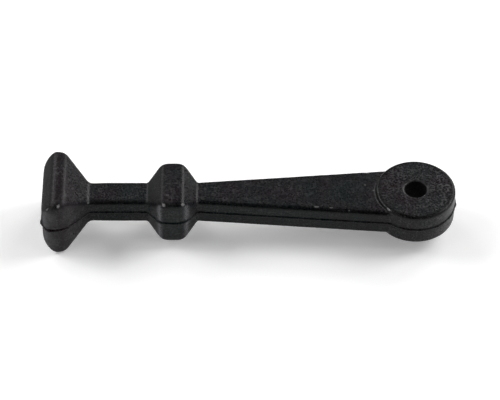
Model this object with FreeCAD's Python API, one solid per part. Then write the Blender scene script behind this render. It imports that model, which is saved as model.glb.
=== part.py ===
"""Pull strap of a rubber hood latch, moulded in one piece.

The strap is one solid of black rubber. From the free end to the anchor end it
has a flared pull head, a square neck, a faceted stop knob, an arm that widens
steadily, and a round eye that is a little thicker than the arm. A plain hole
runs through the eye for the anchor pin. The two halves of the mould met in the
middle of the thickness and left a thin fin of flash all round the outline.

Frame: the origin is the centre of the eye's hole, +Z is the hole's axis and
-X runs along the arm to the pull head. The strap is symmetric about the planes
Y = 0 and Z = 0. All sizes are in millimetres.
"""
import FreeCAD
import Part

import math
import os

from FreeCAD import Vector

# Eye: the round anchor end, which stands a step above and below the arm
EYE_DIAMETER = 25.4
EYE_STEP = 1.15
EYE_RIM_ROUND = 0.85
HOLE_DIAMETER = 7.0
HOLE_EDGE_ROUND = 0.5

# Arm, from the hole's axis to the knob's shoulder
ARM_LENGTH = 69.5
ARM_WIDTH_AT_KNOB = 9.4
ARM_INSET_AT_AXIS = 2.15
ARM_THICKNESS = 9.15
ARM_ROOT_ROUND = 0.25

# Stop knob: two sloping shoulders with a flat crown between them
KNOB_LENGTH = 15.7
KNOB_CROWN = 6.8
KNOB_WIDTH = 19.5
KNOB_THICKNESS = 16.8
KNOB_SIDE_ROUND = 4.4
KNOB_CREASE_ROUND = 1.6
KNOB_FOOT_ROUND = 0.6

# Neck between the knob and the pull head
NECK_LENGTH = 18.8
NECK_WIDTH = 9.6
NECK_THICKNESS = 8.9

# Pull head seen from the side: slope up from the end, flat crown, slope down to the neck
HEAD_LENGTH = 14.7
HEAD_THICKNESS = 22.0
HEAD_END_THICKNESS = 13.6
HEAD_TOP_SLOPE_LENGTH = 3.5
HEAD_CROWN = 3.7
HEAD_CREASE_ROUND = 1.6

# Pull head seen from above: slope out from the end, straight tip, flank in to the neck
HEAD_WIDTH = 25.6
HEAD_END_WIDTH = 19.8
HEAD_SIDE_SLOPE_LENGTH = 1.8
HEAD_TIP_LENGTH = 4.8
HEAD_END_CORNER_ROUND = 4.8
HEAD_TIP_CORNER_ROUND = 2.8
HEAD_FLANK_ROUND = 5.2
HEAD_FOOT_ROUND = 2.0

# Long edges of the strap, and the flash at the mould's parting plane
EDGE_ROUND = 1.2
FLASH_REACH = 0.3
FLASH_THICKNESS = 0.36

# Stations along the strap, each worked out from the one before it
KNOB_ARM_END = -ARM_LENGTH
KNOB_NECK_END = KNOB_ARM_END - KNOB_LENGTH
NECK_HEAD_END = KNOB_NECK_END - NECK_LENGTH
HEAD_END = NECK_HEAD_END - HEAD_LENGTH
HEAD_CROWN_START = HEAD_END + HEAD_TOP_SLOPE_LENGTH
HEAD_CROWN_END = HEAD_CROWN_START + HEAD_CROWN
HEAD_TIP_START = HEAD_END + HEAD_SIDE_SLOPE_LENGTH
HEAD_TIP_END = HEAD_TIP_START + HEAD_TIP_LENGTH
SHOULDER = (KNOB_LENGTH - KNOB_CROWN) / 2

EYE_THICKNESS = ARM_THICKNESS + 2 * EYE_STEP
ARM_WIDTH_AT_AXIS = EYE_DIAMETER - 2 * ARM_INSET_AT_AXIS

# Share of a straight run that one corner's arc may use, so that arcs never meet
RUN_SHARE = 0.46

# Shares of the eye's step that the rim's round and the arm's root round may use
RIM_SHARE = 0.75
ROOT_SHARE = 0.22

# Two skins closer than this are the same surface
TOUCH = 1e-4


def arc_corner(before, corner, after, radius):
    """The arc that rounds one corner of an outline: its start, middle and end."""
    to_before = before - corner
    to_after = after - corner
    half_angle = to_before.getAngle(to_after) / 2
    reach = radius / math.tan(half_angle)
    reach = min(reach, RUN_SHARE * to_before.Length, RUN_SHARE * to_after.Length)
    start = corner + to_before.normalize() * reach
    end = corner + to_after.normalize() * reach
    bisector = (to_before + to_after).normalize()
    fitted = reach * math.tan(half_angle)
    middle = corner + bisector * (fitted / math.sin(half_angle) - fitted)
    return start, middle, end


def rounded_outline(corners):
    """A closed wire through (point, radius) corners; a radius of 0 keeps a corner sharp."""
    count = len(corners)
    edges = []
    ends = []
    for i, (corner, radius) in enumerate(corners):
        if radius == 0:
            ends.append((corner, corner))
            continue
        before = corners[i - 1][0]
        after = corners[(i + 1) % count][0]
        start, middle, end = arc_corner(before, corner, after, radius)
        edges.append(Part.Arc(start, middle, end).toShape())
        ends.append((start, end))
    for i in range(count):
        leave = ends[i][1]
        arrive = ends[(i + 1) % count][0]
        edges.append(Part.LineSegment(leave, arrive).toShape())
    return Part.Wire(Part.__sortEdges__(edges))


def mirrored(half, place):
    """The corners of one side, then the same corners on the other side in reverse."""
    other = [(x, -offset, radius) for x, offset, radius in reversed(half)]
    return [(place(x, offset), radius) for x, offset, radius in half + other]


def faces_up_or_down(face):
    """True for a face of the side outline, whose normal has no part along Y."""
    u0, u1, v0, v1 = face.ParameterRange
    normal = face.normalAt((u0 + u1) / 2, (v0 + v1) / 2)
    return abs(normal.y) < TOUCH and abs(normal.x) < 1 - TOUCH


def long_edges(block):
    """The edges where a side wall meets a top or bottom face."""
    found = []
    for edge in block.Edges:
        first, second = block.ancestorsOfType(edge, Part.Face)
        if faces_up_or_down(first) != faces_up_or_down(second):
            found.append(edge)
    return found


def crossed_outlines(plan_half, side_half):
    """The convex block where a plan outline and a side outline cross, edges rounded.

    Each half outline is a list of (station, distance from the middle, radius).
    """
    height = 4 * max(z for _, z, _ in side_half)
    width = 4 * max(y for _, y, _ in plan_half)
    plan = rounded_outline(mirrored(plan_half, lambda x, y: Vector(x, y, -height / 2)))
    side = rounded_outline(mirrored(side_half, lambda x, z: Vector(x, -width / 2, z)))
    upright = Part.Face(plan).extrude(Vector(0, 0, height))
    across = Part.Face(side).extrude(Vector(0, width, 0))
    block = upright.common(across).Solids[0]
    return block.makeFillet(EDGE_ROUND, long_edges(block)).Solids[0]


def buried(foot, foot_half, crown, crown_half):
    """The end of a sloping flank, which runs on past its foot inside the next piece."""
    run = crown - foot
    rise = crown_half - foot_half
    steepness = abs(rise / run)
    depth = foot_half / 2 / max(steepness, 1)
    station = foot - math.copysign(depth, run)
    return station, foot_half + (station - foot) * rise / run, 0


def head():
    """Pull head: flanks that flare from the neck to a crown with a blunt, sloping end."""
    plan = [
        (HEAD_END, HEAD_END_WIDTH / 2, HEAD_END_CORNER_ROUND),
        (HEAD_TIP_START, HEAD_WIDTH / 2, HEAD_TIP_CORNER_ROUND),
        (HEAD_TIP_END, HEAD_WIDTH / 2, HEAD_FLANK_ROUND),
        buried(NECK_HEAD_END, NECK_WIDTH / 2, HEAD_TIP_END, HEAD_WIDTH / 2),
    ]
    side = [
        (HEAD_END, HEAD_END_THICKNESS / 2, 0),
        (HEAD_CROWN_START, HEAD_THICKNESS / 2, HEAD_CREASE_ROUND),
        (HEAD_CROWN_END, HEAD_THICKNESS / 2, HEAD_CREASE_ROUND),
        buried(NECK_HEAD_END, NECK_THICKNESS / 2, HEAD_CROWN_END, HEAD_THICKNESS / 2),
    ]
    return crossed_outlines(plan, side)


def knob():
    """Stop knob: two sloping shoulders with a flat crown between them."""
    crown_start = KNOB_NECK_END + SHOULDER
    crown_end = KNOB_ARM_END - SHOULDER

    def half(neck_size, full_size, arm_size, crease_round):
        full = full_size / 2
        return [
            buried(KNOB_NECK_END, neck_size / 2, crown_start, full),
            (crown_start, full, crease_round),
            (crown_end, full, crease_round),
            buried(KNOB_ARM_END, arm_size / 2, crown_end, full),
        ]

    plan = half(NECK_WIDTH, KNOB_WIDTH, ARM_WIDTH_AT_KNOB, KNOB_SIDE_ROUND)
    side = half(NECK_THICKNESS, KNOB_THICKNESS, ARM_THICKNESS, KNOB_CREASE_ROUND)
    return crossed_outlines(plan, side)


def bar(start, start_width, end, end_width, thickness):
    """A straight or tapering bar along X whose four long edges are rounded."""
    plan = [(start, start_width / 2, 0), (end, end_width / 2, 0)]
    side = [(start, thickness / 2, 0), (end, thickness / 2, 0)]
    return crossed_outlines(plan, side)


def neck():
    """Neck, which runs into the head and the knob as far as their crowns."""
    end = KNOB_NECK_END + SHOULDER
    return bar(HEAD_CROWN_END, NECK_WIDTH, end, NECK_WIDTH, NECK_THICKNESS)


def arm():
    """Arm, which starts inside the knob and widens to the hole's axis."""
    taper = (ARM_WIDTH_AT_AXIS - ARM_WIDTH_AT_KNOB) / ARM_LENGTH
    start = KNOB_ARM_END - SHOULDER
    start_width = ARM_WIDTH_AT_KNOB - SHOULDER * taper
    return bar(start, start_width, 0, ARM_WIDTH_AT_AXIS, ARM_THICKNESS)


def eye():
    """Round eye with rounded rims, before its hole is made."""
    floor = Vector(0, 0, -EYE_THICKNESS / 2)
    disc = Part.makeCylinder(EYE_DIAMETER / 2, EYE_THICKNESS, floor)
    return disc.makeFillet(min(EYE_RIM_ROUND, RIM_SHARE * EYE_STEP), rims(disc)).Solids[0]


def rims(shape):
    """The circles of a shape that run round the hole's axis in one piece."""
    circles = [edge for edge in shape.Edges if isinstance(edge.Curve, Part.Circle)]
    return [edge for edge in circles if edge.isClosed()]


def seam(whole, first, second):
    """The edges of the whole where the skins of two of its pieces meet."""
    found = []
    for edge in whole.Edges:
        middle = edge.valueAt((edge.FirstParameter + edge.LastParameter) / 2)
        gaps = [Part.Vertex(middle).distToShape(piece.Shells[0])[0] for piece in (first, second)]
        if max(gaps) < TOUCH:
            found.append(edge)
    return found


def joined(whole, base, piece, radius):
    """The whole with one more piece moulded on, and the seam to its base rounded."""
    fused = whole.fuse(piece).removeSplitter().Solids[0]
    return fused.makeFillet(radius, seam(fused, base, piece)).Solids[0]


def with_flash(body):
    """The body with the fin that the mould's parting plane left round its outline."""
    outline = max(body.slice(Vector(0, 0, 1), 0), key=lambda wire: wire.Length)
    outline.translate(Vector(0, 0, -FLASH_THICKNESS / 2))
    fin = Part.Face(outline).makeOffset2D(FLASH_REACH)
    return body.fuse(fin.extrude(Vector(0, 0, FLASH_THICKNESS))).removeSplitter().Solids[0]


def with_hole(body):
    """The body with the anchor pin's hole, rounded where it opens."""
    floor = Vector(0, 0, -EYE_THICKNESS)
    drill = Part.makeCylinder(HOLE_DIAMETER / 2, 2 * EYE_THICKNESS, floor)
    bored = body.cut(drill).Solids[0]
    openings = [edge for edge in rims(bored) if edge.Curve.Radius < HOLE_DIAMETER / 2 + TOUCH]
    return bored.makeFillet(HOLE_EDGE_ROUND, openings).Solids[0]


def pull_strap():
    """The whole strap, grown from the neck outwards."""
    core = neck()
    stop = knob()
    shaft = arm()
    strap = joined(core, core, head(), HEAD_FOOT_ROUND)
    strap = joined(strap, core, stop, KNOB_FOOT_ROUND)
    strap = joined(strap, stop, shaft, KNOB_FOOT_ROUND)
    strap = joined(strap, shaft, eye(), min(ARM_ROOT_ROUND, ROOT_SHARE * EYE_STEP))
    return with_hole(with_flash(strap))


def main():
    os.makedirs("parts", exist_ok=True)
    strap = pull_strap()
    strap.exportStep("parts/pull_strap.step")
    box = strap.BoundBox
    print("pull_strap valid", strap.isValid(), "volume", round(strap.Volume, 1))
    print("size", round(box.XLength, 2), round(box.YLength, 2), round(box.ZLength, 2))


main()
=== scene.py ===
"""Dressed model of a rubber pull strap: its moulded skin, its parting flash and the studio.

Everything is in metres in the strap's own frame: the origin is the centre of the
eye's hole, +Z is the hole's axis and -X runs along the arm to the pull head.
"""
import math

import bmesh
import bpy
import numpy as np
from mathutils import Matrix, Vector, noise


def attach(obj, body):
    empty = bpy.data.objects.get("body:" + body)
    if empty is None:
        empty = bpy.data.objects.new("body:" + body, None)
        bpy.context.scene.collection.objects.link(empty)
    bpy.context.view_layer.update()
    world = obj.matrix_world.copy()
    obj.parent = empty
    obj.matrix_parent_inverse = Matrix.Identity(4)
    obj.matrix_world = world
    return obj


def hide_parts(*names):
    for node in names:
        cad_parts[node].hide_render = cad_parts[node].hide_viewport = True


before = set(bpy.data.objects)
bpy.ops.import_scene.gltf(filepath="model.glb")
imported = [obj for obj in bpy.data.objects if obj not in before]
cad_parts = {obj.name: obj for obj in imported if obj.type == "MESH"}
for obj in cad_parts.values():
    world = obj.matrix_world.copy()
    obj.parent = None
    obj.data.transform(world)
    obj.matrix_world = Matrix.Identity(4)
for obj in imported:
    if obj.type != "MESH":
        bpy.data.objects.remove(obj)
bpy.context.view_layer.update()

MM = 0.001

# Camera: the photograph is 500 x 400 pixels
IMAGE_WIDTH = 500
FOCAL_PIXELS = 2782.0
CAMERA_DISTANCE = 888.0 * MM
CAMERA_ELEVATION = 46.42
CAMERA_AZIMUTH = -0.45
CAMERA_ROLL = 0.26
CAMERA_AIM = Vector((-52.67, 0.39, 0.37)) * MM
SENSOR_WIDTH = 36.0
CLIP_START = 0.05
CLIP_END = 10

# Lamps: azimuth from straight behind the strap, elevation, size in metres, watts
LAMPS = {
    "back_left": (-36, 33, 0.5, 3.4),
    "back_right": (36, 33, 0.5, 4.6),
    "side_left": (-75, 40, 0.5, 6.4),
    "side_right": (75, 40, 0.5, 7.0),
    "front_left": (-115, 38, 0.5, 1.5),
    "front_right": (115, 38, 0.5, 1.5),
    "behind": (0, 42, 0.4, 0.35),
}
LAMP_DISTANCE = 1.2

# Floor and sky
WHITE = (1, 1, 1, 1)
SKY_LEVEL = 0.02
FLOOR_COLOUR = (0.93, 0.93, 0.93, 1)
FLOOR_ROUGHNESS = 0.9
FLOOR_SPECULAR = 0.1
FLOOR_SIZE = 2.0
FLOOR_HEIGHT = -11.1 * MM
FLOOR_LIFT = 0.25

# Rubber: colours in linear light
PLUM_BLACK = (0.0052, 0.0018, 0.0040, 1)
TEAL_BLACK = (0.0006, 0.0040, 0.0042, 1)
# Pale bloom of the rubber, also laid on as painted light on the flanks and the hole's rim
BLOOM_AND_PAINTED_LIGHT = (0.070, 0.068, 0.070, 1)
SCUFF = (0.030, 0.029, 0.030, 1)
# Pale grey of the painted highlights on the sides' upright creases
SIDE_HIGHLIGHT_GREY = (0.155, 0.155, 0.165, 1)
# Near black of the painted shade on the long edges, slopes, seam and hole's wall
SHADED = (0.0006, 0.0006, 0.0008, 1)
DUST = (0.11, 0.11, 0.115, 1)
# Pale grey of the painted glints on the corners, and of worn chips and nicks
GLINT_AND_WEAR_GREY = (0.26, 0.255, 0.26, 1)
SPECULAR = 0.16

# Grain of the rubber: size of its lumps in mm, detail
MOTTLE = (0.62, 2.0)
BLOTCH = (2.4, 3.0)
FINE = (0.22, 2.0)
PATCH = (5.0, 3.0)
SCRATCH = (0.35, 1.0)
SCRATCH_STRETCH = (12, 1, 1)
CHIP = (0.6, 2.0)
TINT = (9.0, 2.0)

# Turned rings on the eye: spacing in mm, and how they waver
RING_SPACING = 0.7
RING_DISTORTION = 1.5
RING_DETAIL = 0.6
# Length of one ring of a wave texture at scale 1
WAVE_LENGTH = 0.314

# Where each layer fades in: from and to in the grain or mask, then what it gives there
BLOOM_SPECKS = (0.49, 0.58)
BLOOM_BY_WEAR = (0, 2, 0.3, 1.7)
BLOOM_BLOTCHES = (0.4, 0.6, 0.3, 1.0)
BLOOM_ON_EDGES = (0.1, 0.5, 1.0, 0.15)
SCRATCH_LINES = (0.66, 0.74)
SCRATCH_PATCHES = (0.5, 0.62)
RING_LINES = (0.8, 1.0)
RING_BREAKS = (0.4, 0.6)
PATCHES_IN_FEET = (0.1, 0.8)
FOOT_PATCH_MOTTLE = (0.3, 0.6, 0.4, 1.0)
GLINT_AND_WEAR_FADE = (0.1, 0.45)
GLINT_AND_WEAR_GRAIN = (0.35, 0.55, 0.3, 1.0)
DUST_SPECKS = (0.60, 0.71)
DUST_PATCHES = (0.35, 0.6, 0.25, 1.0)
CHIPS_ON_EDGES = (0.4, 0.9)
CHIP_SPECKS = (0.64, 0.72)
TINT_DRIFT = (0.35, 0.65, -0.45, 0.45)
TINT_RANGE = (0.0, 1.0)
FLANK_BLOTCHES = (0.35, 0.6, 0.4, 1.0)
RIM_BLOTCHES = (0.35, 0.65, 0.15, 0.7)
STRIPE_MOTTLE = (0.4, 0.55, 0.5, 1.0)

# How much of each layer's colour is laid on
BLOOM_AMOUNT = 0.6
FLANK_AMOUNT = 0.35
MARKS_AMOUNT = 0.35
FOOT_PATCH_AMOUNT = 0.5
SHADE_AMOUNT = 0.9
DUST_AMOUNT = 0.6
CHIP_AMOUNT = 0.6

# Roughness and relief
ROUGH_MOTTLE = (0.35, 0.65, 0.26, 0.40)
ROUGH_PATCHES = (0.3, 0.7, -0.03, 0.03)
FOOT_PATCH_GLOSS = 0.06
DULL_ROUGHNESS = 0.32
FINE_HEIGHT = 0.35
RELIEF_STRENGTH = 0.8
RELIEF_DEPTH = 0.09 * MM

# Skin of the strap
PARTING_CUT = 0.2 * MM
CUT_TOLERANCE = 1e-8
SAME_SPOT = 1e-6
SKIN_CELL = 0.32 * MM
SKIN_SEED = 11
SEED_SHIFT = (3.7, 1.9, 5.3)
# Evening out: rounds, the share that each round takes out, and the share it gives back
EVEN_ROUNDS = 3
EVEN_TAKE = 0.5
EVEN_GIVE = 0.52
# Waves of the moulded skin: height in mm, size in mm
WAVES = [(0.035, 9), (0.012, 2.2)]
# Ripples on the pull head: height, spacing and size of their wander in mm, wander in radians
RIPPLE_HEIGHT = 0.014
RIPPLE_SPACING = 2.9
RIPPLE_WANDER_SIZE = 6
RIPPLE_WANDER = 2.5
# Where they begin along the strap, how soon they are full, in mm, and how level their faces are
RIPPLE_START = -106
RIPPLE_FADE = 3
RIPPLE_FACES = (0.8, 0.15)

# How much paler the rubber is worn along the strap: distance from the eye's hole in mm, amount
WEAR = [
    (-119, 1),
    (-104, 0.8),
    (-95, 0.4),
    (-80, 0.6),
    (-66, 0.45),
    (-35, 0.3),
    (-13, 0),
    (-9, 0.7),
    (3, 1),
    (13, 1.9),
]
# Tint along the strap, 0 plum to 1 teal: distance in mm, amount, and what the sides add
COOL = [(-119, 0.05), (-104, 0.1), (-92, 0.5), (-80, 0.3), (-60, 0.5), (-15, 0.5), (13, 0.4)]
COOL_SIDES = [(-104, 0.0), (-95, 0.7), (-70, 1.0), (-30, 0.6), (-10, 0.2), (13, 0.0)]
# How much the creases are rounded off along the strap: distance in mm, amount
SOFT = [(-119, 1.0), (-112, 0.8), (-105, 0.4), (-98, 0.0), (-87, 0.0), (-82, 0.5), (-73, 0.4), (-68, 0.0)]
SOFT_ROUNDS = 50
SOFT_STEP = 0.5
# Where the creases are matt: distance in mm, amount
DULL_CREASES = [(-106, 1.0), (-99, 0.0), (-86, 0.0), (-82, 0.8), (-79, 0.8), (-76, 0.0)]
# Places along the strap where pale glints are painted on the corners, standing in for highlights, and how
# far they spread, in mm
GLINT_PLACES = [-116.5, -112.9, -104.0, -85.4, -79.9, -73.8, -69.3, -9.0]
GLINT_SPREAD = 0.45
GLINT_LEVEL = 1.6
# Places where pale stripes are painted on the upright creases of the sides, standing in for highlights:
# distance and spread in mm
SIDE_HIGHLIGHT_PLACES = [(-118.2, 1.0), (-81.4, 0.7), (-72.7, 0.7)]
# Nicks: place, spread along and across in mm, depth in mm
NICKS = [
    ((-31.6, -6.5, 4.6), 0.9, 0.5, 0.18),
    ((-27.0, -6.9, 4.6), 0.8, 0.5, 0.14),
    ((-21.4, -8.1, 4.4), 0.4, 0.4, 0.06),
    ((-16.0, 3.0, 4.6), 0.4, 0.4, 0.05),
    ((-13.4, 0.6, 4.6), 0.5, 0.4, 0.05),
    ((-15.2, 8.8, 4.6), 0.9, 0.5, 0.18),
    ((-3.0, -12.4, 2.0), 0.35, 1.2, 0.12),
    ((-79.0, -5.0, 8.4), 1.3, 0.45, 0.10),
    ((-50.0, 6.0, -4.6), 1.4, 0.5, 0.14),
    ((-112.0, 12.0, -6.0), 0.6, 0.9, 0.16),
    ((-93.0, 4.8, -4.0), 1.0, 0.5, 0.14),
    ((9.0, 8.8, -5.7), 0.8, 0.5, 0.16),
]
# Pale bottom of a nick: share of its length, width in mm, how pale
NICK_PALE_LENGTH = 0.6
NICK_PALE_WIDTH = 0.25
NICK_PALENESS = 0.24

# Bend that counts as a full crease, as a share of a skin cell, and rounds of blurring
FULL_BEND = 0.10
BEND_ROUNDS = 2
SHADE_ROUNDS = 8

# How faces are told apart by their normals: a mask's limit, and the width that it fades over
CORNER_TILT = 0.7
CORNER_RANGE = (0.4, 0.25)
CORNER_SIDE = 0.35
UPRIGHT_UP = (0.75, 0.25)
UPRIGHT_SIDE = (0.35, 0.45)
TINTED_SIDE = (0.3, 1.0)
BLUNT_AHEAD = (-0.35, 0.2)
KNOB_AHEAD = (-0.3, 0.2)
SLOPE_UP = (0.15, 0.2)
LENGTHWISE_AHEAD = (0.45, 0.25)
FLANK_SIDE = (0.3, 0.3)
EYE_SIDE_UP = (0.6, 0.3)
HEAD_CORNER_LOWEST = -0.2
EYE_FACE_UP = 0.9
RIM_UP = 0.5
BORE_UP = 0.7

# Places of the masks, in mm: distances along the strap, and radii from the hole's axis
BLUNT_END_START = -110
KNOB_SLOPE_MIDDLE = -82.5
KNOB_SLOPE_HALF = 3.5
BORE_RADIUS = (4.1, 0.3)
HOLE_RIM = (3.95, 0.35)
HOLE_CLEAR = 5
EYE_FACE_RADIUS = 12.5
EYE_RADIUS = 13.2
UNDER_SEAM = (-0.55, 0.35)
HEAD_TIP = (-109.5, 2.6)
HEAD_CORNER = (-116.4, 2.0)
EYE_END = (9.5, 3.0)

# How strong the parts of the masks are
KNOB_SLOPE_DULL = 0.7
SHADE_LEVEL = 2.2
SLOPE_SHADE = 0.8
EYE_END_LEVEL = 1.6
HEAD_CORNER_LEVEL = 3.0

# Flash left by the mould at the parting plane: its steps along the outline, rounds of evening
# them out, and how much it counts as facing sideways for the tint
FLASH_STEP = 0.35 * MM
FLASH_ROUNDS = 2
FLASH_SEED = 5
FLASH_SIDEWAYS = 0.6
# Section of the flash in mm: outwards from the skin, height above the parting plane
FLASH_SECTION = [
    (-1.00, 0.60),
    (-0.20, 0.72),
    (0.00, 0.62),
    (0.18, 0.44),
    (0.36, 0.26),
    (0.41, 0.12),
    (0.44, -0.06),
    (0.38, -0.18),
    (0.12, -0.26),
    (-0.10, -0.34),
    (-1.00, -0.40),
]
# Reach of the flash: its mean, what its waves add and their size in mm, its least and most
FLASH_REACH = 0.85
FLASH_WAVES = [(0.3, 2.5), (0.2, 0.8)]
FLASH_LEAST = 0.5
FLASH_MOST = 1.1
# Thicker spots of flash: place, extra reach in mm
FLASH_SPOTS = [((-118.4, -8.8), 0.7), ((12.7, -1.5), 0.4), ((-104.2, 12.6), 0.4), ((-77.0, 9.7), 0.3)]
FLASH_SPOT_SPREAD = 0.7 * MM


def strap_half():
    """The upper half of the strap without its fin, open at the parting plane."""
    half = bmesh.new()
    half.from_mesh(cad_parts["pull_strap"].data)
    bmesh.ops.remove_doubles(half, verts=half.verts, dist=SAME_SPOT)
    everything = half.verts[:] + half.edges[:] + half.faces[:]
    bmesh.ops.bisect_plane(
        half,
        geom=everything,
        dist=CUT_TOLERANCE,
        plane_co=(0, 0, PARTING_CUT),
        plane_no=(0, 0, 1),
        clear_inner=True,
    )
    for edge in half.edges:
        if edge.is_boundary:
            for vert in edge.verts:
                vert.co.z = 0
    return half


def outline_verts(half):
    """The outer rim of the half at the parting plane, in order."""
    start = max((v for v in half.verts if v.is_boundary), key=lambda v: v.co.x)
    rim = [start]
    edge = next(e for e in start.link_edges if e.is_boundary)
    vert = edge.other_vert(start)
    while vert is not start:
        rim.append(vert)
        edge = next(e for e in vert.link_edges if e.is_boundary and e is not edge)
        vert = edge.other_vert(vert)
    return rim


def new_piece(name, shape, material):
    """A piece of the strap made from a finished bmesh."""
    mesh = bpy.data.meshes.new(name)
    shape.to_mesh(mesh)
    shape.free()
    piece = bpy.data.objects.new(name, mesh)
    bpy.context.scene.collection.objects.link(piece)
    mesh.shade_smooth()
    mesh.materials.append(material)
    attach(piece, "root")
    return piece


def positions(mesh):
    """Each vertex's place."""
    points = np.empty(len(mesh.vertices) * 3, np.float32)
    mesh.vertices.foreach_get("co", points)
    return points.reshape(-1, 3).astype(float)


def normals(mesh):
    """The way that each vertex faces."""
    found = np.empty(len(mesh.vertices) * 3, np.float32)
    mesh.vertices.foreach_get("normal", found)
    return found.reshape(-1, 3).astype(float)


def edge_ends(mesh):
    """The two vertices of each edge."""
    ends = np.empty(len(mesh.edges) * 2, np.int32)
    mesh.edges.foreach_get("vertices", ends)
    return ends.reshape(-1, 2)


def neighbour_mean(values, ends, count):
    """The mean of each vertex's neighbours' values."""
    total = np.zeros((count,) + values.shape[1:])
    number = np.zeros(count)
    for here, there in ((0, 1), (1, 0)):
        np.add.at(total, ends[:, here], values[ends[:, there]])
        np.add.at(number, ends[:, here], 1)
    number = number.reshape((count,) + (1,) * (values.ndim - 1))
    return total / number


def blurred(values, ends, rounds):
    """The values of the vertices, each mixed half and half with its neighbours'."""
    for _ in range(rounds):
        values = 0.5 * values + 0.5 * neighbour_mean(values, ends, len(values))
    return values


def evened(points, ends):
    """The skin without the steps of its cells, at the size it had."""
    for _ in range(EVEN_ROUNDS):
        points = (1 - EVEN_TAKE) * points + EVEN_TAKE * neighbour_mean(points, ends, len(points))
        points = points + EVEN_GIVE * (points - neighbour_mean(points, ends, len(points)))
    return points


def waviness(points, size, seed):
    """Smooth noise from -1 to 1 at each point, with lumps of the given size."""
    shift = Vector([seed * step for step in SEED_SHIFT])
    return np.array([noise.noise(Vector(p) / size + shift) for p in points])


def store(mesh, name, values):
    """Keep one number for each vertex, for the material to read."""
    layer = mesh.attributes.new(name, "FLOAT", "POINT")
    layer.data.foreach_set("value", values.astype(np.float32))


def along_strap(along, table):
    """What a table of distances and amounts gives at each distance."""
    return np.interp(along, *zip(*table))


def rising(values, start, width):
    """0 up to the start, then 1 from a width further on."""
    return np.clip((values - start) / width, 0, 1)


def falling(values, end, width):
    """1 up to a width before the end, then 0 from the end on."""
    return np.clip((end - values) / width, 0, 1)


def near(values, middle, spread):
    """1 at the middle, fading out on both sides."""
    return np.exp(-(((values - middle) / spread) ** 2))


def coolness(along, side):
    """The tint at a distance along the strap, and how much the place faces sideways."""
    return along_strap(along, COOL) + along_strap(along, COOL_SIDES) * side


class Skin:
    """Where each vertex of the skin lies in mm, how it faces and how sharply it bends.

    Here side and up count facing either way, and ahead and upwards keep their sign.
    """

    def __init__(self, mesh):
        points = positions(mesh)
        facing = normals(mesh)
        self.ends = edge_ends(mesh)
        self.spots = points / MM
        self.along = points[:, 0] / MM
        self.height = points[:, 2] / MM
        self.radius = np.hypot(points[:, 0], points[:, 1]) / MM
        self.ahead = facing[:, 0]
        self.side = np.abs(facing[:, 1])
        self.upwards = facing[:, 2]
        self.up = np.abs(facing[:, 2])
        pull = neighbour_mean(points, self.ends, len(points)) - points
        bend = -(pull * facing).sum(1) / SKIN_CELL
        self.bend = blurred(bend, self.ends, BEND_ROUNDS)
        self.edge = np.clip(self.bend / FULL_BEND, 0, 1)
        self.blunt_end = falling(self.ahead, *BLUNT_AHEAD) * (self.along < BLUNT_END_START)
        self.bore = falling(self.radius, *BORE_RADIUS) * (self.up < BORE_UP)
        on_slope = np.abs(self.along - KNOB_SLOPE_MIDDLE) < KNOB_SLOPE_HALF
        self.knob_slope = falling(self.ahead, *KNOB_AHEAD) * on_slope * rising(self.upwards, *SLOPE_UP)


def glint_and_wear_mask(skin):
    """Painted highlights as pale glints on the corners at the listed places, and the pale bottoms of the
    nicks.
    """
    corner = falling(np.abs(skin.up - CORNER_TILT), *CORNER_RANGE) * (skin.side > CORNER_SIDE)
    places = sum(near(skin.along, place, GLINT_SPREAD) for place in GLINT_PLACES)
    glints_and_wear = GLINT_LEVEL * skin.edge * places * corner
    for place, spread, _, _ in NICKS:
        apart = (skin.spots - place) / (spread * NICK_PALE_LENGTH, NICK_PALE_WIDTH, NICK_PALE_WIDTH)
        apart = np.linalg.norm(apart, axis=1)
        glints_and_wear += NICK_PALENESS * near(apart, apart.min(), 1)
    return np.clip(glints_and_wear, 0, 1)


def side_highlight_mask(skin):
    """Painted highlights: pale stripes on the upright creases of the sides."""
    upright = falling(skin.up, *UPRIGHT_UP) * rising(skin.side, *UPRIGHT_SIDE)
    places = sum(near(skin.along, *place) for place in SIDE_HIGHLIGHT_PLACES)
    return np.clip(places, 0, 1) * upright


def dull_mask(skin):
    """The blunt end, some creases, the hole's wall and the knob's slope, which are matt."""
    crease = skin.edge * along_strap(skin.along, DULL_CREASES)
    return np.clip(skin.blunt_end + crease + skin.bore + KNOB_SLOPE_DULL * skin.knob_slope, 0, 1)


def shade_mask(skin):
    """Painted shade on the long edges, the end slopes, the seam's foot and the hole's wall, which are
    darkest.
    """
    lengthwise = falling(np.abs(skin.ahead), *LENGTHWISE_AHEAD)
    long_edges = skin.edge * np.maximum(lengthwise, skin.radius < EYE_RADIUS)
    long_edges = blurred(long_edges, skin.ends, SHADE_ROUNDS)
    slopes = rising(skin.upwards, *SLOPE_UP) * skin.blunt_end + skin.knob_slope
    clear = skin.radius > HOLE_CLEAR
    seam = near(skin.height, *UNDER_SEAM) * clear
    return np.clip(SHADE_LEVEL * long_edges * clear + SLOPE_SHADE * slopes + seam + skin.bore, 0, 1)


def flank_light_mask(skin):
    """Painted light: paler sides of the pull head and end of the eye, standing in for light that they
    catch.
    """
    aside = rising(skin.side, *FLANK_SIDE)
    outer = falling(skin.up, *EYE_SIDE_UP)
    flank_light = aside * near(skin.along, *HEAD_TIP)
    flank_light += EYE_END_LEVEL * outer * near(skin.along, *EYE_END)
    corner = near(skin.along, *HEAD_CORNER) * (skin.upwards > HEAD_CORNER_LOWEST)
    return flank_light + HEAD_CORNER_LEVEL * aside * corner


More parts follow.
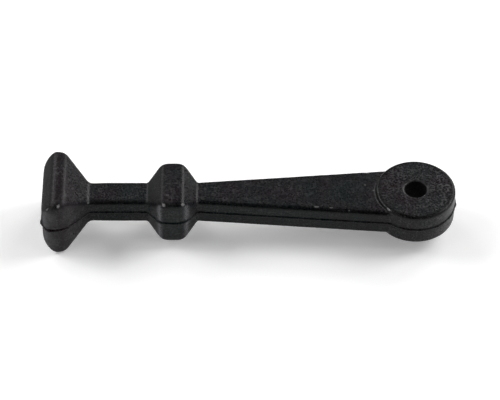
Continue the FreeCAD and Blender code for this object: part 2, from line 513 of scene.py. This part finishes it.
def skin_masks(mesh):
    """Where the skin bends and is worn, and where shade and highlights are painted on it, for the material
    to read.
    """
    skin = Skin(mesh)
    masks = {
        "edge": skin.edge,
        "foot": np.clip(-skin.bend / FULL_BEND, 0, 1),
        "wear": along_strap(skin.along, WEAR),
        "glints_and_wear": glint_and_wear_mask(skin),
        "side_highlight": side_highlight_mask(skin),
        "cool": coolness(skin.along, rising(skin.side, *TINTED_SIDE)),
        "dull": dull_mask(skin),
        "shade": shade_mask(skin),
        "eye_face": (skin.up > EYE_FACE_UP) & (skin.radius < EYE_FACE_RADIUS),
        "flank_light": flank_light_mask(skin),
        "hole_rim_highlight": (skin.up > RIM_UP) * near(skin.radius, *HOLE_RIM),
    }
    for name, values in masks.items():
        store(mesh, name, values)


def soften(points, ends):
    """Round off the pull head's blunt end, and a little of the knob."""
    amount = along_strap(points[:, 0] / MM, SOFT)[:, None]
    for _ in range(SOFT_ROUNDS):
        points = points + SOFT_STEP * amount * (neighbour_mean(points, ends, len(points)) - points)
    return points


def nick(points, facing):
    """Small nicks pressed into the skin."""
    for place, along, across, depth in NICKS:
        centre = np.array(place) * MM
        centre = points[np.argmin(((points - centre) ** 2).sum(1))]
        apart = (points - centre) / (np.array([along, across, across]) * MM)
        points = points - facing * (depth * MM * np.exp(-(apart**2).sum(1)))[:, None]
    return points


def ripples(points, facing):
    """Shallow flow ripples on the flat faces of the pull head."""
    flat = rising(np.abs(facing[:, 2]), *RIPPLE_FACES)
    head = falling(points[:, 0], RIPPLE_START * MM, RIPPLE_FADE * MM)
    wander = RIPPLE_WANDER * waviness(points, RIPPLE_WANDER_SIZE * MM, SKIN_SEED + 2)
    phase = points[:, 1] / (RIPPLE_SPACING * MM) * 2 * math.pi + wander
    return RIPPLE_HEIGHT * MM * np.sin(phase) * flat * head


def strap_skin(half, material):
    """The whole skin: both halves as one even mesh, with the slight waviness of moulded rubber."""
    everything = half.verts[:] + half.edges[:] + half.faces[:]
    bmesh.ops.mirror(half, geom=everything, axis="Z", merge_dist=SAME_SPOT)
    bmesh.ops.recalc_face_normals(half, faces=half.faces)
    piece = new_piece("strap_rubber", half, material)
    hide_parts("pull_strap")
    remesh = piece.modifiers.new("even_skin", "REMESH")
    remesh.mode = "VOXEL"
    remesh.voxel_size = SKIN_CELL
    graph = bpy.context.evaluated_depsgraph_get()
    even = bpy.data.meshes.new_from_object(piece.evaluated_get(graph))
    piece.modifiers.remove(remesh)
    piece.data = even
    even.name = "strap_rubber"
    even.shade_smooth()
    ends = edge_ends(even)
    points = soften(evened(positions(even), ends), ends)
    facing = normals(even)
    lift = np.zeros(len(points))
    for number, (height, size) in enumerate(WAVES):
        lift += height * MM * waviness(points, size * MM, SKIN_SEED + number)
    lift += ripples(points, facing)
    points = nick(points + facing * lift[:, None], facing)
    even.vertices.foreach_set("co", points.astype(np.float32).ravel())
    even.update()
    skin_masks(even)
    return piece


def flash_path(rim):
    """Even steps round the strap's outline, in order, as (x, y) in metres."""
    strip = bmesh.new()
    loop = [strip.verts.new(vert.co) for vert in rim]
    for here, there in zip(loop, loop[1:] + loop[:1]):
        strip.edges.new((here, there))
    for edge in strip.edges[:]:
        cuts = math.ceil(edge.calc_length() / FLASH_STEP) - 1
        if cuts > 0:
            bmesh.ops.subdivide_edges(strip, edges=[edge], cuts=cuts)
    start = max(strip.verts, key=lambda v: v.co.x)
    ordered = [start]
    edge = start.link_edges[0]
    vert = edge.other_vert(start)
    while vert is not start:
        ordered.append(vert)
        edge = next(e for e in vert.link_edges if e is not edge)
        vert = edge.other_vert(vert)
    path = np.array([v.co[:2] for v in ordered])
    strip.free()
    for _ in range(FLASH_ROUNDS):
        path = 0.5 * path + 0.25 * (np.roll(path, 1, 0) + np.roll(path, -1, 0))
    return path


def flash_reach(path):
    """How far the flash stands out at each step, as a share of its section."""
    spots = np.hstack([path, np.zeros((len(path), 1))])
    reach = np.full(len(path), FLASH_REACH)
    for number, (amount, size) in enumerate(FLASH_WAVES):
        reach += amount * waviness(spots, size * MM, FLASH_SEED + number)
    reach = np.clip(reach, FLASH_LEAST, FLASH_MOST)
    for place, extra in FLASH_SPOTS:
        apart = np.linalg.norm(path - np.array(place) * MM, axis=1)
        reach += extra * near(apart, apart.min(), FLASH_SPOT_SPREAD)
    return reach


def flash_strip(rim, material):
    """The fin of flash that stands proud of the skin all round the parting plane."""
    path = flash_path(rim)
    reach = flash_reach(path)
    ahead = np.roll(path, -1, 0) - np.roll(path, 1, 0)
    ahead /= np.linalg.norm(ahead, axis=1)[:, None]
    outward = np.stack([ahead[:, 1], -ahead[:, 0]], 1)
    if (outward[0] @ (1, 0)) < 0:
        outward = -outward
    fin = bmesh.new()
    rows = []
    for out, height in FLASH_SECTION:
        grow = out * MM * (reach if out > 0 else np.ones(len(path)))
        spread = np.hstack([path + outward * grow[:, None], np.full((len(path), 1), height * MM)])
        ring = [fin.verts.new(spot) for spot in spread]
        rows.append([fin.edges.new(pair) for pair in zip(ring, ring[1:] + ring[:1])])
    for upper, lower in zip(rows, rows[1:] + rows[:1]):
        bmesh.ops.bridge_loops(fin, edges=upper + lower)
    bmesh.ops.recalc_face_normals(fin, faces=fin.faces)
    piece = new_piece("parting_flash", fin, material)
    along = positions(piece.data)[:, 0] / MM
    store(piece.data, "cool", coolness(along, np.full(len(along), FLASH_SIDEWAYS)))
    return piece


class Recipe:
    """Short ways to add nodes to one material."""

    def __init__(self, material):
        self.nodes = material.node_tree.nodes
        self.links = material.node_tree.links
        self.place = self.nodes.new("ShaderNodeTexCoord").outputs["Object"]

    def join(self, value, socket):
        """Link a socket, or set a plain value."""
        if isinstance(value, bpy.types.NodeSocket):
            self.links.new(value, socket)
        else:
            socket.default_value = value

    def grain(self, size, detail, stretch=(1, 1, 1)):
        """Noise with lumps of the given size in mm, drawn out by the stretch."""
        vector = self.place
        if stretch != (1, 1, 1):
            turn = self.nodes.new("ShaderNodeMapping")
            turn.inputs["Scale"].default_value = [1 / s for s in stretch]
            self.links.new(vector, turn.inputs["Vector"])
            vector = turn.outputs["Vector"]
        node = self.nodes.new("ShaderNodeTexNoise")
        node.inputs["Scale"].default_value = 1 / (size * MM)
        node.inputs["Detail"].default_value = detail
        self.links.new(vector, node.inputs["Vector"])
        return node.outputs["Fac"]

    def rings(self, size):
        """Rings round the eye's hole, with the given spacing in mm."""
        node = self.nodes.new("ShaderNodeTexWave")
        node.wave_type = "RINGS"
        node.rings_direction = "Z"
        node.inputs["Scale"].default_value = WAVE_LENGTH / (size * MM)
        node.inputs["Distortion"].default_value = RING_DISTORTION
        node.inputs["Detail Scale"].default_value = RING_DETAIL
        self.links.new(self.place, node.inputs["Vector"])
        return node.outputs["Fac"]

    def mask(self, name):
        """A number kept on the mesh."""
        node = self.nodes.new("ShaderNodeAttribute")
        node.attribute_name = name
        return node.outputs["Fac"]

    def ramp(self, value, low, high, to_low=0.0, to_high=1.0):
        """A value between low and high, moved to a range of its own and kept inside it."""
        node = self.nodes.new("ShaderNodeMapRange")
        node.inputs["From Min"].default_value = low
        node.inputs["From Max"].default_value = high
        node.inputs["To Min"].default_value = to_low
        node.inputs["To Max"].default_value = to_high
        self.join(value, node.inputs["Value"])
        return node.outputs["Result"]

    def math(self, operation, first, second):
        """A sum on two values."""
        node = self.nodes.new("ShaderNodeMath")
        node.operation = operation
        self.join(first, node.inputs[0])
        self.join(second, node.inputs[1])
        return node.outputs["Value"]

    def times(self, first, *others):
        """All the values multiplied together."""
        for other in others:
            first = self.math("MULTIPLY", first, other)
        return first

    def plus(self, first, second):
        """Two values added."""
        return self.math("ADD", first, second)

    def blend(self, amount, first, second):
        """A colour between two others."""
        node = self.nodes.new("ShaderNodeMix")
        node.data_type = "RGBA"
        self.join(amount, node.inputs["Factor"])
        colours = [s for s in node.inputs if s.type == "RGBA"]
        self.join(first, colours[0])
        self.join(second, colours[1])
        return next(s for s in node.outputs if s.type == "RGBA")


def rubber_colour(mix, mottle, fine, patch, foot_patches):
    """Tinted black under bloom, scuffs, painted shade, dust, worn chips, and painted highlights and light
    on corners, creases, flanks and the hole's rim.
    """
    blotch = mix.grain(*BLOTCH)
    scratch = mix.grain(*SCRATCH, stretch=SCRATCH_STRETCH)
    edge = mix.mask("edge")
    bloom = mix.times(mix.ramp(mottle, *BLOOM_SPECKS), mix.ramp(mix.mask("wear"), *BLOOM_BY_WEAR))
    bloom = mix.times(bloom, mix.ramp(blotch, *BLOOM_BLOTCHES), mix.ramp(edge, *BLOOM_ON_EDGES))
    marks = mix.times(mix.ramp(scratch, *SCRATCH_LINES), mix.ramp(patch, *SCRATCH_PATCHES))
    rings = mix.ramp(mix.rings(RING_SPACING), *RING_LINES)
    turned = mix.times(rings, mix.mask("eye_face"), mix.ramp(mottle, *RING_BREAKS))
    glint_and_nick_specks = mix.times(mix.ramp(mix.mask("glints_and_wear"), *GLINT_AND_WEAR_FADE), mix.ramp(fine, *GLINT_AND_WEAR_GRAIN))
    dust = mix.times(mix.ramp(fine, *DUST_SPECKS), mix.ramp(patch, *DUST_PATCHES))
    chips = mix.times(mix.ramp(edge, *CHIPS_ON_EDGES), mix.ramp(mix.grain(*CHIP), *CHIP_SPECKS))
    flank_light = mix.times(mix.mask("flank_light"), mix.ramp(blotch, *FLANK_BLOTCHES))
    rim = mix.times(mix.mask("hole_rim_highlight"), mix.ramp(blotch, *RIM_BLOTCHES))
    side_highlight = mix.times(mix.mask("side_highlight"), mix.ramp(mottle, *STRIPE_MOTTLE))

    cool = mix.plus(mix.mask("cool"), mix.ramp(mix.grain(*TINT), *TINT_DRIFT))
    colour = mix.blend(mix.ramp(cool, *TINT_RANGE), PLUM_BLACK, TEAL_BLACK)
    colour = mix.blend(mix.times(bloom, BLOOM_AMOUNT), colour, BLOOM_AND_PAINTED_LIGHT)
    # Painted light on the sides of the pull head and the end of the eye
    colour = mix.blend(mix.times(flank_light, FLANK_AMOUNT), colour, BLOOM_AND_PAINTED_LIGHT)
    colour = mix.blend(mix.times(mix.plus(marks, turned), MARKS_AMOUNT), colour, SCUFF)
    # Paler patches in the concave feet
    colour = mix.blend(mix.times(foot_patches, FOOT_PATCH_AMOUNT), colour, SCUFF)
    # Painted shade: the long edges, slopes, seam and hole's wall turn near black
    colour = mix.blend(mix.times(mix.mask("shade"), SHADE_AMOUNT), colour, SHADED)
    colour = mix.blend(mix.times(dust, DUST_AMOUNT), colour, DUST)
    # Painted highlight on the rim of the eye's hole
    colour = mix.blend(rim, colour, BLOOM_AND_PAINTED_LIGHT)
    # Painted highlights on the upright creases of the sides
    colour = mix.blend(side_highlight, colour, SIDE_HIGHLIGHT_GREY)
    # Painted glints on the corners, with worn chips and nicks
    glints_and_wear = mix.math("MAXIMUM", glint_and_nick_specks, mix.times(chips, CHIP_AMOUNT))
    return mix.blend(glints_and_wear, colour, GLINT_AND_WEAR_GREY)


def rubber_roughness(mix, mottle, patch, foot_patches):
    """Uneven gloss, a little glossier in the feet and matt where the skin is dull."""
    rough = mix.plus(mix.ramp(mottle, *ROUGH_MOTTLE), mix.ramp(patch, *ROUGH_PATCHES))
    rough = mix.math("SUBTRACT", rough, mix.times(foot_patches, FOOT_PATCH_GLOSS))
    return mix.plus(rough, mix.times(mix.mask("dull"), DULL_ROUGHNESS))


def rubber_relief(mix, mottle, fine):
    """The fine unevenness of the skin."""
    bump = mix.nodes.new("ShaderNodeBump")
    bump.inputs["Strength"].default_value = RELIEF_STRENGTH
    bump.inputs["Distance"].default_value = RELIEF_DEPTH
    mix.join(mix.plus(mottle, mix.times(fine, FINE_HEIGHT)), bump.inputs["Height"])
    return bump.outputs["Normal"]


def rubber():
    """Black moulded rubber: mottled with bloom, glossier in its creases, with painted shade on its edges
    and painted highlights on its corners.
    """
    material = bpy.data.materials.new("black_rubber")
    material.use_nodes = True
    shader = material.node_tree.nodes["Principled BSDF"]
    shader.inputs["Specular IOR Level"].default_value = SPECULAR
    mix = Recipe(material)
    mottle = mix.grain(*MOTTLE)
    fine = mix.grain(*FINE)
    patch = mix.grain(*PATCH)
    foot_patches = mix.times(mix.ramp(mix.mask("foot"), *PATCHES_IN_FEET), mix.ramp(mottle, *FOOT_PATCH_MOTTLE))
    mix.join(rubber_colour(mix, mottle, fine, patch, foot_patches), shader.inputs["Base Color"])
    mix.join(rubber_roughness(mix, mottle, patch, foot_patches), shader.inputs["Roughness"])
    mix.join(rubber_relief(mix, mottle, fine), shader.inputs["Normal"])
    return material


def area_lamp(name, azimuth, elevation, size, power):
    """A soft square lamp aimed at the middle of the strap; azimuth 0 is behind it, 90 to its right."""
    lamp = bpy.data.lights.new(name, "AREA")
    lamp.shape = "SQUARE"
    lamp.size = size
    lamp.energy = power
    lamp_object = bpy.data.objects.new(name, lamp)
    bpy.context.scene.collection.objects.link(lamp_object)
    turn = math.radians(azimuth)
    rise = math.radians(elevation)
    aim = Vector((math.sin(turn) * math.cos(rise), math.cos(turn) * math.cos(rise), math.sin(rise)))
    lamp_object.location = CAMERA_AIM + aim * LAMP_DISTANCE
    lamp_object.rotation_euler = aim.to_track_quat("Z", "Y").to_euler()


def floor_material():
    """White paper that lifts to white where it is seen and still takes the strap's shadow."""
    material = bpy.data.materials.new("white_floor")
    material.use_nodes = True
    shader = material.node_tree.nodes["Principled BSDF"]
    shader.inputs["Base Color"].default_value = FLOOR_COLOUR
    shader.inputs["Roughness"].default_value = FLOOR_ROUGHNESS
    shader.inputs["Specular IOR Level"].default_value = FLOOR_SPECULAR
    shader.inputs["Emission Color"].default_value = WHITE
    mix = Recipe(material)
    ray = mix.nodes.new("ShaderNodeLightPath").outputs
    seen = mix.math("MAXIMUM", ray["Is Camera Ray"], ray["Is Glossy Ray"])
    seen = mix.math("MAXIMUM", seen, ray["Is Transmission Ray"])
    mix.join(mix.times(seen, FLOOR_LIFT), shader.inputs["Emission Strength"])
    return material


def studio():
    """White floor, soft lamps all round the strap, strongest at its sides, and a dim even sky."""
    material = floor_material()
    sheet = bmesh.new()
    bmesh.ops.create_grid(sheet, x_segments=1, y_segments=1, size=FLOOR_SIZE)
    bmesh.ops.translate(sheet, verts=sheet.verts, vec=(0, 0, FLOOR_HEIGHT))
    mesh = bpy.data.meshes.new("floor")
    sheet.to_mesh(mesh)
    sheet.free()
    floor = bpy.data.objects.new("floor", mesh)
    mesh.materials.append(material)
    bpy.context.scene.collection.objects.link(floor)
    for name, values in LAMPS.items():
        area_lamp(f"lamp_{name}", *values)
    world = bpy.data.worlds.new("studio_sky")
    bpy.context.scene.world = world
    world.use_nodes = True
    world.node_tree.nodes["Background"].inputs["Color"].default_value = WHITE
    world.node_tree.nodes["Background"].inputs["Strength"].default_value = SKY_LEVEL


def camera():
    """The photograph's viewpoint."""
    data = bpy.data.cameras.new("camera")
    data.sensor_width = SENSOR_WIDTH
    data.lens = FOCAL_PIXELS / IMAGE_WIDTH * SENSOR_WIDTH
    data.clip_start = CLIP_START
    data.clip_end = CLIP_END
    turn = math.radians(CAMERA_AZIMUTH)
    rise = math.radians(CAMERA_ELEVATION)
    back = Vector((math.sin(turn) * math.cos(rise), -math.cos(turn) * math.cos(rise), math.sin(rise)))
    viewer = bpy.data.objects.new("camera", data)
    bpy.context.scene.collection.objects.link(viewer)
    look = (-back).to_track_quat("-Z", "Y").to_matrix() @ Matrix.Rotation(math.radians(CAMERA_ROLL), 3, "Z")
    viewer.rotation_euler = look.to_euler()
    viewer.location = CAMERA_AIM + back * CAMERA_DISTANCE
    bpy.context.scene.camera = viewer


def main():
    """The strap's two pieces, the camera and the studio."""
    black = rubber()
    half = strap_half()
    rim = outline_verts(half)
    flash_strip(rim, black)
    strap_skin(half, black)
    camera()
    studio()
    bpy.context.scene.view_settings.view_transform = "Standard"


main()
